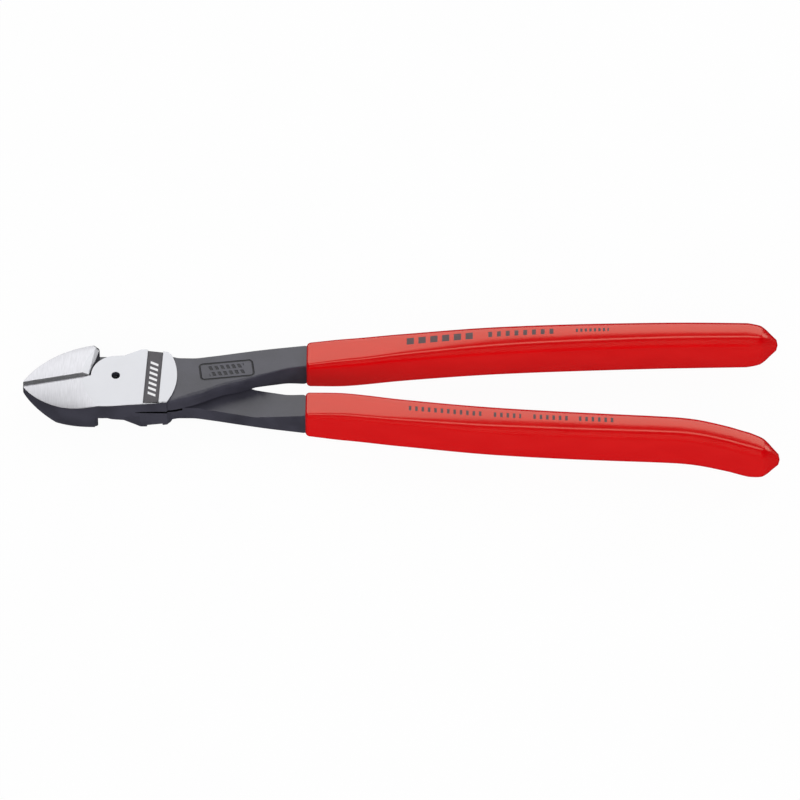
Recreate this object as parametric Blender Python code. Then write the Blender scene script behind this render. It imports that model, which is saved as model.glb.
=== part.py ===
"""Diagonal cutting pliers: two crossed forged halves on one axle, with a dipped grip on each handle.

World frame in metres: +X runs from the axle to the handles, +Y towards the front half's handle and +Z from the
rear ground face to the front one. The origin is on the axle, in the plane of the rear ground face.

Both halves are the same forging, turned over about X. A half is drawn in its own frame, in millimetres: Z = 0 is
the plane where the halves meet, its plate and handle lie at +Z and +Y, and its jaw is at -Y.
"""

import math

import bmesh
import bpy
from mathutils import Matrix, Vector

MM = 0.001

# Head
HEAD_THICKNESS = 13.4
HALF_THICKNESS = HEAD_THICKNESS / 2
JAW_REACH = 30.8
JAW_HALF_WIDTH = 12.9
TIP_HALF_WIDTH = 1.0
BOW_START = 8.0
BOW_FULLNESS = (2.2, 0.85)
FACE_SLOPE = 0.27
FACE_START = 11.2
FACE_CROWN_RADIUS = 54.0
REAR_FACE_SLOPE = 0.47
REAR_FACE_START = 20.0
REAR_FACE_CROWN_RADIUS = 42.0
REAR_FACE_LEVEL_START = REAR_FACE_START - 0.2

# Joint
HUB_RADIUS = 8.2
DISC_RADIUS = 20.3
SHOULDER_CLEARANCE = 0.18
SHOULDER_LEAN = 0.32
SHOULDER_CHAMFER = 1.0
CORNER_RADIUS = 1.5
PLATE_GAP = 0.16
BUMP_HEIGHT = 11.2
BUMP_CREST_DEG = 26.0
BUMP_SHELF = ((17.2, -0.9), (9.9, 0.0), (8.2, 0.0), (5.4, -1.3))
BUMP_FOOT = (2.6, 0.2)
HUB_ARC_DEG = (96.0, 179.0)
CHIN_START = 0.7
CHIN_HEIGHT = 12.8
HEEL_HEIGHT = 11.1

# Cutting edges
EDGE_GAP = 0.1
FRONT_BEVEL_WIDTH = 1.1
FRONT_BEVEL_DEPTH = 0.8
REAR_BEVEL_SLOPE = 0.25
EDGE_LENGTH_END = 10.9
EDGE_RUNOUT = 2.7

# Recessed band across the plate
BAND_WIDTH = 5.1
BAND_CENTRE = 12.4
BAND_LEAN = 0.052
BAND_DEPTH = 0.7
BAND_LIP = 0.6

# Axle
AXLE_RADIUS = 4.5
AXLE_SEAT_DEPTH = 4.5
AXLE_HEAD_RADIUS = 5.9
AXLE_HEAD_DEPTH = 1.9
AXLE_PRESS_CLEARANCE = 0.03
AXLE_RUNNING_CLEARANCE = 0.06
CENTRE_HOLE_RADIUS = 1.4

# Neck
NECK_ROOT = 14.0
NECK_FACE_DROP = 0.6
NECK_OUTER = ((14.0, 8.6), (18.0, 8.7), (21.0, 8.2), (25.0, 8.2), (31.5, 9.1), (41.6, 11.0), (51.8, 12.9))
NECK_INNER = ((14.0, -10.9), (18.0, -10.4), (23.0, -9.0), (28.0, -7.2), (35.0, -3.9), (41.6, -1.5),
              (48.4, 1.4), (52.7, 3.1), (57.0, 4.7))
NECK_MID_DROP = 1.1
NECK_STATIONS = (NECK_ROOT, 18, 20, 22, 24, 27, 30, 33, 36, 39, 42, 45, 48, 51, 54, 58)
NECK_END_INSET = 1.5
NECK_EDGE_BREAK = 0.5
LAP_END = 46.0
LAP_RAMP_SLOPE = 0.29

# Handles and grips
GRIP_START = 62.9
HANDLE_REACH = 219.2
HANDLE_SPREAD = 10.35
HANDLE_BOW = 9.85
HANDLE_SHAPE = ((0.0, 0.0), (0.09, 0.11), (0.2, 0.33), (0.41, 0.665), (0.62, 0.85), (0.81, 0.955),
                (1.0, 1.0))
TAIL_START = 175.0
TAIL_CURL = 7.2
TAIL_SHAPE = ((0.0, 0.0), (0.2, 0.02), (0.34, 0.085), (0.61, 0.445), (0.75, 0.72), (0.88, 0.91), (1.0, 1.0))
GRIP_WIDTHS = ((0.0, 10.9), (0.1, 11.3), (0.24, 10.75), (0.4, 10.35), (0.62, 9.8), (0.8, 9.3), (1.0, 8.8))
GRIP_THICKNESSES = ((0.0, 11.5), (0.09, 13.8), (0.24, 14.1), (0.4, 14.4), (0.62, 14.9), (0.8, 15.0),
                    (1.0, 14.4))
GRIP_WALL = 1.1
GRIP_LIP_WALL = 0.95
GRIP_LIP_LENGTH = 14.0
GRIP_CLEARANCE = 0.05
GRIP_CORNERS = ((0.0, 1.6), (0.12, 2.2), (1.0, 2.4))
TANG_CORNER = 0.9
GRIP_LIP = 1.3
GRIP_LIP_ROUND = ((0.0, 0.75), (0.25, 0.38), (0.6, 0.12))
GRIP_END_TAPER = 10.2
GRIP_SECTIONS = 18
TANG_END_INSET = 8.0
TANG_END_TAPER = 6.1
TANG_SECTIONS = 16
END_SHAPE = ((0.0, 1.0), (0.09, 0.985), (0.42, 0.9), (0.58, 0.77), (0.74, 0.58), (0.9, 0.35), (0.97, 0.24),
             (1.0, 0.08))

STEEL_COLOUR = (0.09, 0.09, 0.11, 1.0)
STEEL_ROUGHNESS = 0.38
AXLE_COLOUR = (0.62, 0.62, 0.64, 1.0)
AXLE_ROUGHNESS = 0.25
GRIP_COLOUR = (0.62, 0.003, 0.01, 1.0)
GRIP_ROUGHNESS = 0.22

ROUND_STEPS = 48
CORNER_STEPS = 3


def eased(knots, x):
    """Value at x of a smooth curve through (x, value) knots that never runs past a knot's value."""
    if x <= knots[0][0]:
        return knots[0][1]
    if x >= knots[-1][0]:
        return knots[-1][1]
    steps = [(b[1] - a[1]) / (b[0] - a[0]) for a, b in zip(knots, knots[1:])]
    means = [2 * a * b / (a + b) if a * b > 0 else 0.0 for a, b in zip(steps, steps[1:])]
    tangents = [steps[0], *means, steps[-1]]
    for (x0, y0), (x1, y1), m0, m1 in zip(knots, knots[1:], tangents, tangents[1:]):
        if x <= x1:
            span = x1 - x0
            t = (x - x0) / span
            rise = y1 - y0
            lead = t * t * (3 - 2 * t) * rise
            return y0 + lead + span * t * (1 - t) * ((1 - t) * m0 - t * m1)


def arc(radius, start_deg, end_deg, steps):
    """Points on an arc about the axle."""
    angles = [math.radians(start_deg + (end_deg - start_deg) * i / steps) for i in range(steps + 1)]
    return [(radius * math.cos(a), radius * math.sin(a)) for a in angles]


def rounded_corner(before, corner, after, radius, steps):
    """Points of the arc that rounds one corner of an outline."""
    corner = Vector(corner)
    back = (Vector(before) - corner).normalized()
    ahead = (Vector(after) - corner).normalized()
    half = back.angle(ahead) / 2
    reach = radius / math.tan(half)
    centre = corner + (back + ahead).normalized() * (radius / math.sin(half))
    first = corner + back * reach - centre
    last = corner + ahead * reach - centre
    return [tuple(centre + first.slerp(last, i / steps)) for i in range(steps + 1)]


def bow(steps):
    """The jaw's curved outer edge, from the tip to where it runs level, as (x, y) at -Y."""
    power, fullness = BOW_FULLNESS
    points = []
    for i in range(steps + 1):
        along = math.cos(math.pi / 2 * i / steps) ** 1.5
        rise = (1 - along**power) ** fullness
        x = -BOW_START - (JAW_REACH - BOW_START) * along
        points.append((x, -TIP_HALF_WIDTH - (JAW_HALF_WIDTH - TIP_HALF_WIDTH) * rise))
    return points


def head_outline():
    """Outline of a half's jaw and plate together, counter-clockwise seen from +Z."""
    heel = math.degrees(math.asin(HEEL_HEIGHT / DISC_RADIUS))
    return [
        (-HUB_RADIUS, -EDGE_GAP / 2),
        (-JAW_REACH, -EDGE_GAP / 2),
        *bow(12),
        (-BOW_START / 2, -JAW_HALF_WIDTH),
        (-CHIN_START, -CHIN_HEIGHT),
        *arc(DISC_RADIUS, -heel, BUMP_CREST_DEG, 12),
        *[(x, BUMP_HEIGHT + dy) for x, dy in BUMP_SHELF],
        (BUMP_FOOT[0], HUB_RADIUS + BUMP_FOOT[1]),
        *arc(HUB_RADIUS, *HUB_ARC_DEG, 12),
    ]


def shoulder(y):
    """X of the jaw's end wall at a distance y from the cutting line."""
    foot = (HUB_RADIUS + SHOULDER_CLEARANCE) * math.hypot(1, SHOULDER_LEAN)
    return -foot + SHOULDER_LEAN * y


def along_grip(x):
    """Share of the grip's length passed at x."""
    return (x - GRIP_START) / (HANDLE_REACH - GRIP_START)


def handle_centre(x, curled):
    """Distance of the handle's centre line from the tool's axis."""
    centre = HANDLE_SPREAD + HANDLE_BOW * eased(HANDLE_SHAPE, along_grip(x))
    if curled and x > TAIL_START:
        centre += TAIL_CURL * eased(TAIL_SHAPE, (x - TAIL_START) / (HANDLE_REACH - TAIL_START))
    return centre


def grip_half_sizes(x):
    """Half width and half thickness of the grip, before its lip and its pointed end."""
    along = along_grip(x)
    return eased(GRIP_WIDTHS, along) / 2, eased(GRIP_THICKNESSES, along) / 2


def grip_corner(x):
    return eased(GRIP_CORNERS, along_grip(x))


def grip_wall(x):
    return eased(((GRIP_START, GRIP_LIP_WALL), (GRIP_START + GRIP_LIP_LENGTH, GRIP_WALL)), x)


def section(x, centre, half_width, half_thickness, corner):
    """Closed ring of points: a rectangle with rounded corners, square to X."""
    corner = min(corner, 0.95 * half_width, 0.95 * half_thickness)
    ring = []
    for quarter, (side_y, side_z) in enumerate(((1, 1), (-1, 1), (-1, -1), (1, -1))):
        for i in range(CORNER_STEPS + 1):
            angle = math.radians(90 * (quarter + i / CORNER_STEPS))
            y = side_y * (half_width - corner) + corner * math.cos(angle)
            z = side_z * (half_thickness - corner) + corner * math.sin(angle)
            ring.append((x, centre + y, z))
    return ring


def loft(sections):
    """Closed body through rings of points that hold the same number of points each."""
    bm = bmesh.new()
    rings = [[bm.verts.new(point) for point in ring] for ring in sections]
    for near, far in zip(rings, rings[1:]):
        for i, (a, b) in enumerate(zip(near, far)):
            bm.faces.new((near[i - 1], a, b, far[i - 1]))
    bm.faces.new(rings[0])
    bm.faces.new(reversed(rings[-1]))
    bmesh.ops.recalc_face_normals(bm, faces=bm.faces)
    return bm


def prism(outline, low, high):
    """Outline in X and Y, extruded from low to high along Z."""
    return loft([[(x, y, z) for x, y in outline] for z in (low, high)])


def material(name, colour, roughness, metallic):
    made = bpy.data.materials.new(name)
    made.use_nodes = True
    shader = made.node_tree.nodes["Principled BSDF"]
    shader.inputs["Base Color"].default_value = colour
    shader.inputs["Roughness"].default_value = roughness
    shader.inputs["Metallic"].default_value = metallic
    made.diffuse_color = colour
    return made


def placement(turned_over):
    """Where a half's own frame lies in the world."""
    turn = Matrix.Rotation(math.pi, 4, "X") if turned_over else Matrix()
    return Matrix.Translation((0, 0, HALF_THICKNESS * MM)) @ turn


def add_object(name, bm, place, finish=None):
    """Object from a bmesh in millimetres, with its origin on the joint's axis."""
    bmesh.ops.scale(bm, vec=(MM, MM, MM), verts=bm.verts)
    mesh = bpy.data.meshes.new(name)
    bm.to_mesh(mesh)
    bm.free()
    made = bpy.data.objects.new(name, mesh)
    bpy.context.scene.collection.objects.link(made)
    made.matrix_world = place
    if finish:
        mesh.materials.append(finish)
        mesh.shade_smooth()
        mesh.set_sharp_from_angle(angle=math.radians(30))
    else:
        made.hide_render = True
        made.display_type = "WIRE"
    return made


def combine(body, tool, operation):
    modifier = body.modifiers.new(tool.name, "BOOLEAN")
    modifier.operation = operation
    modifier.solver = "EXACT"
    modifier.object = tool


def lap_cutter():
    """What is milled off the forging behind the plate: up to the jaw's shoulder, and out along the neck."""
    top = PLATE_GAP / 2
    chamfer_z = SHOULDER_CHAMFER - HALF_THICKNESS
    bottom = -HALF_THICKNESS - 1
    far_side = 2 * JAW_HALF_WIDTH
    side = JAW_HALF_WIDTH + 0.05
    corner = (shoulder(side), -side)
    round_off = rounded_corner((shoulder(0), 0.0), corner, (-JAW_REACH, -side), CORNER_RADIUS, 4)
    edge = [(shoulder(0), far_side), (shoulder(0), 0.0), *round_off, (-BOW_START, -far_side)]
    ramp = 1 / LAP_RAMP_SLOPE
    levels = (
        (top, 0.0, LAP_END),
        (chamfer_z, 0.0, LAP_END + ramp * (top - chamfer_z)),
        (bottom, chamfer_z - bottom, LAP_END + ramp * (top - bottom)),
    )
    rings = []
    for z, flare, end in levels:
        ring = [(x - flare, y, z) for x, y in edge]
        ring += [(end, -far_side, z), (end, far_side, z)]
        rings.append(ring)
    return loft(rings)


def face_cutter(side, slope, start, crown_radius, level_start=0.0):
    """What is ground off above the jaw's crowned face; side is +1 or -1 along Z.

    The face slopes away to the tip from the start, and runs level from the level start to the axle.
    """
    wide = 1.5 * JAW_HALF_WIDTH
    strips = 10
    profile = []
    for i in range(strips + 1):
        y = wide * (2 * i / strips - 1)
        profile.append((y, math.sqrt(crown_radius**2 - y * y) - crown_radius))
    top = 2 * HALF_THICKNESS
    profile += [(wide, top), (-wide, top)]
    rings = []
    for x in (-1.5 * JAW_REACH, -level_start, HUB_RADIUS):
        level = HALF_THICKNESS + slope * (min(x, -level_start) + start)
        rings.append([(x, y, side * (level + z)) for y, z in profile])
    return loft(rings)


def edge_level(x):
    """Height of the cutting edge above the plane between the halves."""
    face = HALF_THICKNESS + min(0.0, FACE_SLOPE * (x + FACE_START))
    runout = max(0.0, (x + EDGE_LENGTH_END) / EDGE_RUNOUT)
    return face - FRONT_BEVEL_DEPTH * (1 - runout)


def front_bevel_cutter():
    """Shallow groove over the cutting line, running out to a point at the hub."""
    rise = 6.0
    half = rise * FRONT_BEVEL_WIDTH / FRONT_BEVEL_DEPTH
    rings = []
    for x in (-1.2 * JAW_REACH, -FACE_START, -EDGE_LENGTH_END, EDGE_RUNOUT - EDGE_LENGTH_END + 0.5):
        level = edge_level(x)
        rings.append([(x, 0.0, level), (x, half, level + rise), (x, -half, level + rise)])
    return loft(rings)


def rear_bevel_cutter():
    """Deep relief behind the cutting edges."""
    drop = 3 * HALF_THICKNESS
    half = drop * REAR_BEVEL_SLOPE
    rings = []
    for x, lowered in ((-1.2 * JAW_REACH, 0.0), (-FACE_START, 0.0), (shoulder(0) + 0.5, 2.2 * HALF_THICKNESS)):
        level = edge_level(min(x, -EDGE_LENGTH_END)) - lowered
        rings.append([(x, 0.0, level), (x, -half, level - drop), (x, half, level - drop)])
    return loft(rings)


def band_cutter():
    """Shallow slot across the plate, open at the bump and closed by a lip at the heel."""
    low = -(CHIN_HEIGHT + HEEL_HEIGHT) / 2 + BAND_LIP
    high = BUMP_HEIGHT + 3
    half = BAND_WIDTH / 2
    corners = [(-half, low), (half, low), (half, high), (-half, high)]
    outline = [(BAND_CENTRE + dx + BAND_LEAN * y, y) for dx, y in corners]
    return prism(outline, HALF_THICKNESS - BAND_DEPTH, HALF_THICKNESS + 1)


def turned(profile):
    """Solid of revolution about the axle from (radius, z) points, with flat ends."""
    rings = []
    for radius, z in profile:
        angles = [2 * math.pi * i / ROUND_STEPS for i in range(ROUND_STEPS)]
        rings.append([(radius * math.cos(a), radius * math.sin(a), z) for a in angles])
    return loft(rings)


def neck_section(x):
    """Section of the neck, which keeps flat sides and only broken edges."""
    half_width, half_thickness = (size - GRIP_LIP_WALL for size in grip_half_sizes(GRIP_START))
    root = handle_centre(GRIP_START, False)
    outer = eased((*NECK_OUTER, (GRIP_START, root + half_width)), x)
    inner = eased((*NECK_INNER, (GRIP_START, root - half_width)), x)
    face = HALF_THICKNESS - NECK_FACE_DROP
    middle = HALF_THICKNESS - NECK_MID_DROP
    level = eased(((NECK_ROOT, face), (LAP_END, middle), (GRIP_START, half_thickness)), x)
    return section(x, (outer + inner) / 2, (outer - inner) / 2, level, NECK_EDGE_BREAK)


def end_scale(x, end, taper):
    """How far the section has drawn in at x on the way to a pointed end."""
    return eased(END_SHAPE, (x - end + taper) / taper)


def tang_section(x, end, curled, clearance):
    """Section of the bar inside the grip, or with clearance of the hollow around it."""
    half_width, half_thickness = grip_half_sizes(x)
    scale = end_scale(x, end, TANG_END_TAPER)
    half_width = (half_width - grip_wall(x)) * scale + clearance
    half_thickness = (half_thickness - grip_wall(x)) * scale + clearance
    return section(x, handle_centre(x, curled), half_width, half_thickness, TANG_CORNER + clearance)


def tang_stations(end):
    straight = end - TANG_END_TAPER
    even = [GRIP_START + (straight - GRIP_START) * i / TANG_SECTIONS for i in range(TANG_SECTIONS + 1)]
    return even + [straight + (end - straight) * t for t in (0.4, 0.7, 1.0)]


def handle_bar(curled):
    """Neck and tang in one bar, rooted inside the head."""
    end = HANDLE_REACH - TANG_END_INSET
    sections = [neck_section(x) for x in (*NECK_STATIONS, GRIP_START - NECK_END_INSET)]
    sections += [tang_section(x, end, curled, 0.0) for x in tang_stations(end)]
    return loft(sections)


def grip(curled):
    """Dipped sleeve: its skin from the pointed end to the lip, then the hollow around the tang."""
    sections = []
    straight = HANDLE_REACH - GRIP_END_TAPER
    lip_end = GRIP_START + GRIP_LIP
    even = [lip_end + (straight - lip_end) * i / GRIP_SECTIONS for i in range(GRIP_SECTIONS + 1)]
    ends = [straight + GRIP_END_TAPER * t for t, _ in END_SHAPE[1:]]
    for x in reversed(even + ends):
        half_width, half_thickness = grip_half_sizes(x)
        scale = end_scale(x, HANDLE_REACH, GRIP_END_TAPER)
        corner = grip_corner(x)
        sections.append(section(x, handle_centre(x, curled), half_width * scale, half_thickness * scale, corner))
    for along, inset in reversed(GRIP_LIP_ROUND):
        x = GRIP_START + GRIP_LIP * along
        half_width, half_thickness = grip_half_sizes(x)
        inset *= GRIP_LIP_WALL
        centre = handle_centre(x, curled)
        sections.append(section(x, centre, half_width - inset, half_thickness - inset, grip_corner(x)))
    hollow_end = HANDLE_REACH - TANG_END_INSET + GRIP_CLEARANCE
    for x in tang_stations(hollow_end):
        sections.append(tang_section(x, hollow_end, curled, GRIP_CLEARANCE))
    return loft(sections)


def forged_half(name, turned_over, finish, shared_cutters):
    """One half: forged head and handle bar, then milled and ground to shape."""
    place = placement(turned_over)
    half = add_object(name, prism(head_outline(), -HALF_THICKNESS, HALF_THICKNESS), place, finish)
    combine(half, add_object(f"{name}_bar", handle_bar(turned_over), place), "UNION")
    front_side = -1 if turned_over else 1
    level_start = 0.0 if turned_over else REAR_FACE_LEVEL_START
    rear_face = (REAR_FACE_SLOPE, REAR_FACE_START, REAR_FACE_CROWN_RADIUS, level_start)
    cutters = {
        "lap": lap_cutter(),
        "front_face": face_cutter(front_side, FACE_SLOPE, FACE_START, FACE_CROWN_RADIUS),
        "rear_face": face_cutter(-front_side, *rear_face),
        "band": band_cutter(),
    }
    for tool, bm in cutters.items():
        combine(half, add_object(f"{name}_{tool}_cut", bm, place), "DIFFERENCE")
    for cutter in shared_cutters:
        combine(half, cutter, "DIFFERENCE")
    return half


def main():
    for existing in list(bpy.data.objects):
        bpy.data.objects.remove(existing, do_unlink=True)

    steel = material("forged_steel", STEEL_COLOUR, STEEL_ROUGHNESS, 0.9)
    ground_steel = material("ground_steel", AXLE_COLOUR, AXLE_ROUGHNESS, 1.0)
    dipped_plastic = material("dipped_plastic", GRIP_COLOUR, GRIP_ROUGHNESS, 0.0)

    world = placement(False)
    bevels = [
        add_object("front_bevel_cut", front_bevel_cutter(), world),
        add_object("rear_bevel_cut", rear_bevel_cutter(), world),
    ]
    front = forged_half("front_lever", False, steel, bevels)
    rear = forged_half("rear_lever", True, steel, bevels)

    seat = turned([(AXLE_RADIUS, -1.0), (AXLE_RADIUS, AXLE_SEAT_DEPTH)])
    combine(front, add_object("axle_seat_cut", seat, world), "DIFFERENCE")
    centre_hole = turned([(CENTRE_HOLE_RADIUS, AXLE_SEAT_DEPTH - 1), (CENTRE_HOLE_RADIUS, HALF_THICKNESS + 1)])
    combine(front, add_object("centre_hole_cut", centre_hole, world), "DIFFERENCE")

    bore_radius = AXLE_RADIUS - AXLE_PRESS_CLEARANCE + AXLE_RUNNING_CLEARANCE
    head_radius = AXLE_HEAD_RADIUS + AXLE_RUNNING_CLEARANCE
    flare = (head_radius - bore_radius) / AXLE_HEAD_DEPTH
    neck_z = AXLE_HEAD_DEPTH - HALF_THICKNESS
    bore = turned([
        (head_radius + flare, -HALF_THICKNESS - 1),
        (bore_radius, neck_z + AXLE_RUNNING_CLEARANCE),
        (bore_radius, 1.0),
    ])
    combine(rear, add_object("axle_bore_cut", bore, world), "DIFFERENCE")

    shank_radius = AXLE_RADIUS - AXLE_PRESS_CLEARANCE
    axle_profile = [
        (AXLE_HEAD_RADIUS, -HALF_THICKNESS),
        (shank_radius, neck_z),
        (shank_radius, AXLE_SEAT_DEPTH - AXLE_PRESS_CLEARANCE),
    ]
    add_object("joint_axle", turned(axle_profile), world, ground_steel)

    add_object("upper_grip", grip(False), placement(False), dipped_plastic)
    add_object("lower_grip", grip(True), placement(True), dipped_plastic)
    bpy.context.view_layer.update()


main()
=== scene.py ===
"""Diagonal cutting pliers: the visible tool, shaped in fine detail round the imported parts.

The frame is in metres: +X runs from the axle to the handles, +Y towards the front half's handle and +Z from
the rear ground face to the front one. Shapes are drawn in millimetres in a half's own frame and placed at
the end: Z = 0 is the plane where the halves meet, the plate and the handle lie at +Z and +Y, and the jaw is
at -Y.
"""

import math
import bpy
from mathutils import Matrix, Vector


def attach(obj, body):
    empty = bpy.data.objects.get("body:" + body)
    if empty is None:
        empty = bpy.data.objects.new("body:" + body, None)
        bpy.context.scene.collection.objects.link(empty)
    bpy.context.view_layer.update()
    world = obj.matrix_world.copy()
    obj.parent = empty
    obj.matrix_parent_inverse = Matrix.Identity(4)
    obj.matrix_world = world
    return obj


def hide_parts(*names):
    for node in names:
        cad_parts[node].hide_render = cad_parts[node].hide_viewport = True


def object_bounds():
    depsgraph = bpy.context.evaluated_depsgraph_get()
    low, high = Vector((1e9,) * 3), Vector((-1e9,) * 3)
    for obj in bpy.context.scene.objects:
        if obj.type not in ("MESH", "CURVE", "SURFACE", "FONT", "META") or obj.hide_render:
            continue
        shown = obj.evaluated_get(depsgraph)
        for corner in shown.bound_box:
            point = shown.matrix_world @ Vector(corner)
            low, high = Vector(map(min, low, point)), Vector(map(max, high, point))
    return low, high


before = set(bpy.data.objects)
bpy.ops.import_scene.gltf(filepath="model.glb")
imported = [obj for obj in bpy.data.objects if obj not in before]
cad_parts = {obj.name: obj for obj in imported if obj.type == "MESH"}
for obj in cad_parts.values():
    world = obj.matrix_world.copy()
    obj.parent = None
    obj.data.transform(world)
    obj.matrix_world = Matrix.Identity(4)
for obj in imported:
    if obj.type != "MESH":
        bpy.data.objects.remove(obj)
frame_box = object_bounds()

from types import SimpleNamespace

import bmesh
import bpy
from mathutils import Matrix, Vector

bl_info = {
    "name": "Diagonal Cutting Pliers",
    "version": (1, 0, 0),
    "blender": (4, 5, 0),
    "location": "3D View > Sidebar > Pliers",
    "description": "Long-handled side cutters with forged levers, a flush lap joint and dipped grips",
    "category": "Object",
}

MM = 0.001

# How finely shapes are divided
ARC_STEPS = 40
CORNER_STEPS = 6
FLAT_STEPS = 8
BAR_CORNER_STEPS = 4
BUMP_CORNER_STEPS = 4
SHOULDER_CORNER_STEPS = 8
CROWN_STEPS = 36
TURN_STEPS = 96
NECK_STEPS = 90
TANG_STEPS = 40
TANG_END_STEPS = 5
SLEEVE_STEPS = 150
SLEEVE_END_STEPS = 24
LIP_STEPS = 8
LIP_INSIDE_STEPS = 4
WELD = 1e-4

# Which material slot of a lever a face takes; the last is the near-black painted shade in the gap between the
# halves
FORGED, GROUND, BRUSHED, RECESS, PAINTED_GAP_SHADE = range(5)

# Outlines of the neck: distance from the axle and from the tool's axis
NECK_OUTER = ((14.0, 8.6), (18.0, 8.7), (21.0, 8.2), (25.0, 8.2), (31.5, 9.1), (41.6, 11.0), (51.8, 12.9))
NECK_INNER = ((14.0, -10.9), (18.0, -10.4), (23.0, -9.0), (28.0, -7.2), (35.0, -3.9), (41.6, -1.5),
              (48.4, 1.4), (52.7, 3.1), (57.0, 4.7))

# Courses over a share of the way along the grip, its curled tail or its pointed end
HANDLE_SHAPE = ((0.0, 0.0), (0.09, 0.11), (0.2, 0.33), (0.41, 0.665), (0.62, 0.85), (0.81, 0.955), (1.0, 1.0))
TAIL_SHAPE = ((0.0, 0.0), (0.2, 0.02), (0.34, 0.085), (0.61, 0.445), (0.75, 0.72), (0.88, 0.91), (1.0, 1.0))
GRIP_WIDTHS = ((0.0, 10.9), (0.1, 11.3), (0.24, 10.75), (0.4, 10.35), (0.62, 9.8), (0.8, 9.3), (1.0, 8.8))
GRIP_THICKNESSES = ((0.0, 11.5), (0.09, 13.8), (0.24, 14.1), (0.4, 14.4), (0.62, 14.9), (0.8, 15.0),
                    (1.0, 14.4))
GRIP_CORNERS = ((0.0, 1.6), (0.12, 2.2), (1.0, 2.4))
GRIP_CROWNS = ((0.0, 0.0), (0.12, 0.01), (0.25, 0.06), (0.5, 0.12), (1.0, 0.12))
GRIP_LEANS = ((0.0, 0.0), (0.15, 0.0), (0.4, 0.04), (1.0, 0.04))
END_SHAPE = ((0.0, 1.0), (0.09, 0.985), (0.42, 0.9), (0.58, 0.77), (0.74, 0.58), (0.9, 0.35), (0.97, 0.24),
             (1.0, 0.0))


def length(name, description, millimetres):
    return bpy.props.FloatProperty(
        name=name, description=description, default=millimetres * MM, min=0.0, unit="LENGTH", precision=5
    )


def colour(name, description, value):
    return bpy.props.FloatVectorProperty(
        name=name, description=description, default=value, size=3, min=0.0, max=1.0, subtype="COLOR"
    )


class PliersHead(bpy.types.PropertyGroup):
    """Sizes of a forged half's jaw, plate and joint."""

    thickness: length("Head Thickness", "From the rear ground face to the front one", 13.4)
    jaw_reach: length("Jaw Reach", "From the axle to the tip", 30.8)
    jaw_half_width: length("Jaw Half Width", "From the cutting line to the jaw's outer edge", 12.9)
    tip_half_width: length("Tip Half Width", "Half the width of the blunt tip", 1.0)
    bow_start: length("Bow Start", "From the axle to where the jaw's outer edge starts to curve", 8.0)
    hub_radius: length("Hub Radius", "Arc of the plate that the other jaw's end wall clears", 8.2)
    disc_radius: length("Disc Radius", "Arc of the ground plate at the neck", 20.3)
    bump_height: length("Bump Height", "Height of the plate's step over the axle", 11.2)
    chin_height: length("Chin Height", "Depth of the plate's lower edge beside the jaw", 12.8)
    heel_height: length("Heel Height", "Depth of the plate's lower edge at the neck", 11.1)
    edge_gap: length("Edge Gap", "What the cutting edges keep between them when closed", 0.1)
    band_width: length("Band Width", "Width of the recessed band across the plate", 5.1)
    band_centre: length("Band Centre", "From the axle to the middle of the band", 12.4)
    band_depth: length("Band Depth", "Depth of the recessed band", 0.7)
    axle_radius: length("Axle Radius", "Shank of the joint axle", 4.5)
    axle_head_radius: length("Axle Head Radius", "Rear end of the joint axle", 5.9)
    centre_hole_radius: length("Centre Hole Radius", "Centring hole in the front plate", 1.4)


class PliersHandles(bpy.types.PropertyGroup):
    """Sizes of the handles and their grips."""

    grip_start: length("Grip Start", "From the axle to the grips' lips", 62.9)
    reach: length("Handle Reach", "From the axle to the handles' ends", 219.2)
    spread: length("Spread", "From the tool's axis to a handle's centre line at its lip", 10.35)
    bow: length("Bow", "How far a handle bows out from its lip to its end", 9.85)
    tail_start: length("Tail Start", "From the axle to where the curled end starts", 175.0)
    tail_curl: length("Tail Curl", "How far the curled end leaves the other one's line", 7.2)
    wall: length("Wall", "Thickness of a dipped grip", 1.1)
    lip_wall: length("Lip Wall", "Thickness of a dipped grip at its lip", 0.95)
    end_taper: length("End Taper", "Length over which a grip draws in to its pointed end", 10.2)
    lip: length("Lip Round", "Length of the rounded lip", 1.3)


class PliersFinish(bpy.types.PropertyGroup):
    """Colours of the tool."""

    forged: colour("Forged Steel", "Satin black skin of the forging", (0.040, 0.039, 0.054))
    ground: colour("Ground Steel", "Plates and axle", (0.55, 0.555, 0.58))
    brushed: colour("Brushed Steel", "Jaws", (0.64, 0.64, 0.67))
    recess: colour("Recess Paint", "Floor of the band", (0.085, 0.080, 0.088))
    # Near-black painted shade for the gap between the halves, where shadow falls
    gap_shade_colour: colour("Painted_Gap_Shade", "Oily dirt in the gap between the halves", (0.004, 0.004, 0.005))
    marks: colour("Painted Marks", "Stripes on the band", (0.86, 0.86, 0.88))
    grip: colour("Dipped Plastic", "Grips", (0.63, 0.0006, 0.003))
    ink: colour("Printed Ink", "Bars printed on the grips", (0.06, 0.03, 0.05))


class PliersStage(bpy.types.PropertyGroup):
    """Floor, lights and camera."""

    floor: colour("Floor", "Pale floor", (0.95, 0.95, 0.95))
    softbox: bpy.props.FloatProperty(
        name="Softbox", description="Large light behind the tool", default=20.5, min=0.0, unit="POWER"
    )
    elevation: bpy.props.FloatProperty(
        name="Camera Elevation", description="Above the ground faces", default=math.radians(52.6),
        subtype="ANGLE"
    )
    azimuth: bpy.props.FloatProperty(
        name="Camera Azimuth", description="Round the tool from its lower side", default=math.radians(0.63),
        subtype="ANGLE"
    )
    view_width: length("View Width", "Width of what the camera sees at the tool", 264.55)


def in_millimetres(group):
    """The lengths of a property group, in millimetres."""
    return SimpleNamespace(**{name: getattr(group, name) / MM for name in type(group).__annotations__})


# Curves


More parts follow.
